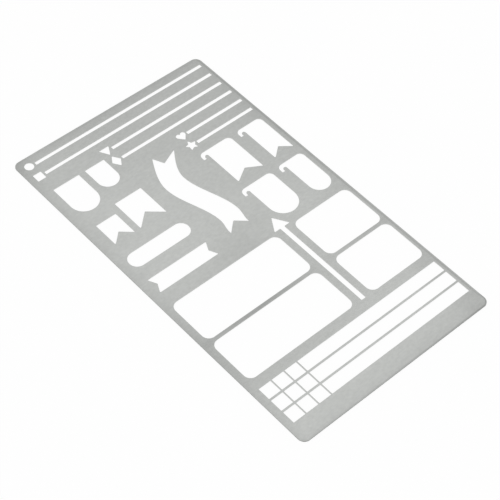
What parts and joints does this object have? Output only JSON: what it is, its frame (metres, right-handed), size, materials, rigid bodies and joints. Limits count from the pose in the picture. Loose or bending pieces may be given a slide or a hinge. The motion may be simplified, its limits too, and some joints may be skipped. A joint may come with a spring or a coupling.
{
  "type": "journaling stencil",
  "caption": "Flat rectangular metal stencil with rounded corners, cut through with writing lines, list marks, tabs, pennants, labels, frames, an arrow and a checklist.",
  "frame": {"origin": "middle of the sheet's lower face", "axes": "+X across the sheet, +Y along it towards the list of writing lines, +Z out of its upper face"},
  "size_m": [0.1016, 0.1778, 0.0004],
  "materials": {
    "steel": "satin, fine-grained"
  },
  "bodies": {
    "root": {"stencil_plate": "steel"}
  },
  "joints": []
}
